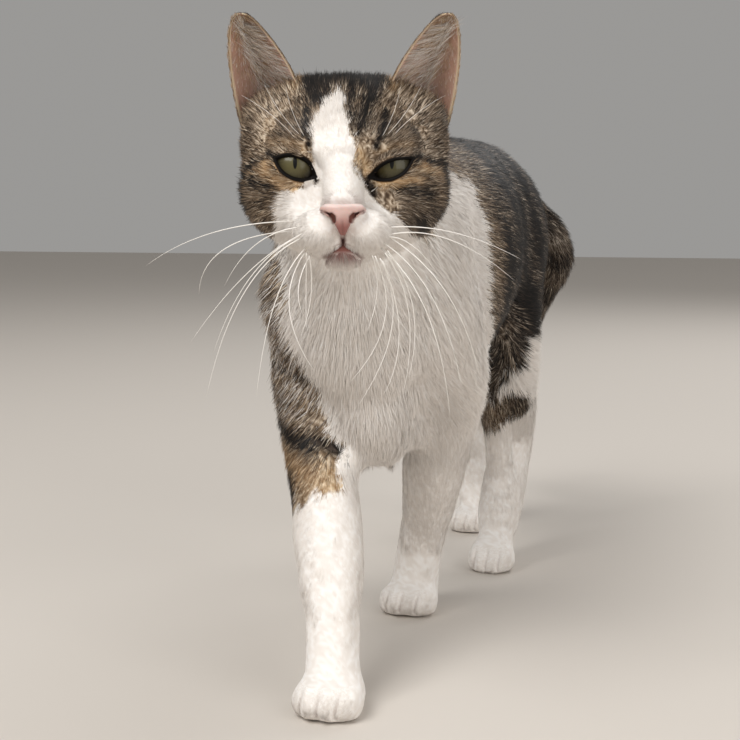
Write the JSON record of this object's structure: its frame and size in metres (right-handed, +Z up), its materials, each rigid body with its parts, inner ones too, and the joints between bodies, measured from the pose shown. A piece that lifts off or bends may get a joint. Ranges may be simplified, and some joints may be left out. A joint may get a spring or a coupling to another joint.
{
  "type": "cat",
  "caption": "Life-size domestic short-haired cat, walking, brown tabby with white face blaze, chest and legs, tail lowered.",
  "frame": {"origin": "on the floor, under the middle of the whole cat's box", "axes": "+Z up, the cat walks towards -Y, +X is its left side"},
  "size_m": [0.1412, 0.5562, 0.3107],
  "materials": {
    "tabby_coat": "short brown and black tabby fur",
    "white_coat": "short white fur",
    "ear_skin": "thin skin with sparse pale hair",
    "nose_skin": "damp bare pink skin",
    "eye": "wet clear cornea over an olive iris",
    "whisker": "stiff white hair"
  },
  "bodies": {
    "root": {"head": "tabby_coat", "trunk": "tabby_coat", "tail_base": "tabby_coat", "tail_tip": "tabby_coat", "thigh_left": "tabby_coat", "thigh_right": "tabby_coat", "neck": "white_coat", "foreleg_left": "white_coat", "foreleg_right": "white_coat", "forepaw_left": "white_coat", "forepaw_right": "white_coat", "hindleg_left": "white_coat", "hindleg_right": "white_coat", "hindpaw_left": "white_coat", "hindpaw_right": "white_coat", "whisker_left_1": "whisker", "whisker_left_2": "whisker", "whisker_left_3": "whisker", "whisker_left_4": "whisker", "whisker_left_5": "whisker", "whisker_right_1": "whisker", "whisker_right_2": "whisker", "whisker_right_3": "whisker", "whisker_right_4": "whisker", "whisker_right_5": "whisker", "ear_left": "ear_skin", "ear_right": "ear_skin", "nose": "nose_skin", "eye_left": "eye", "eye_right": "eye"}
  },
  "joints": []
}
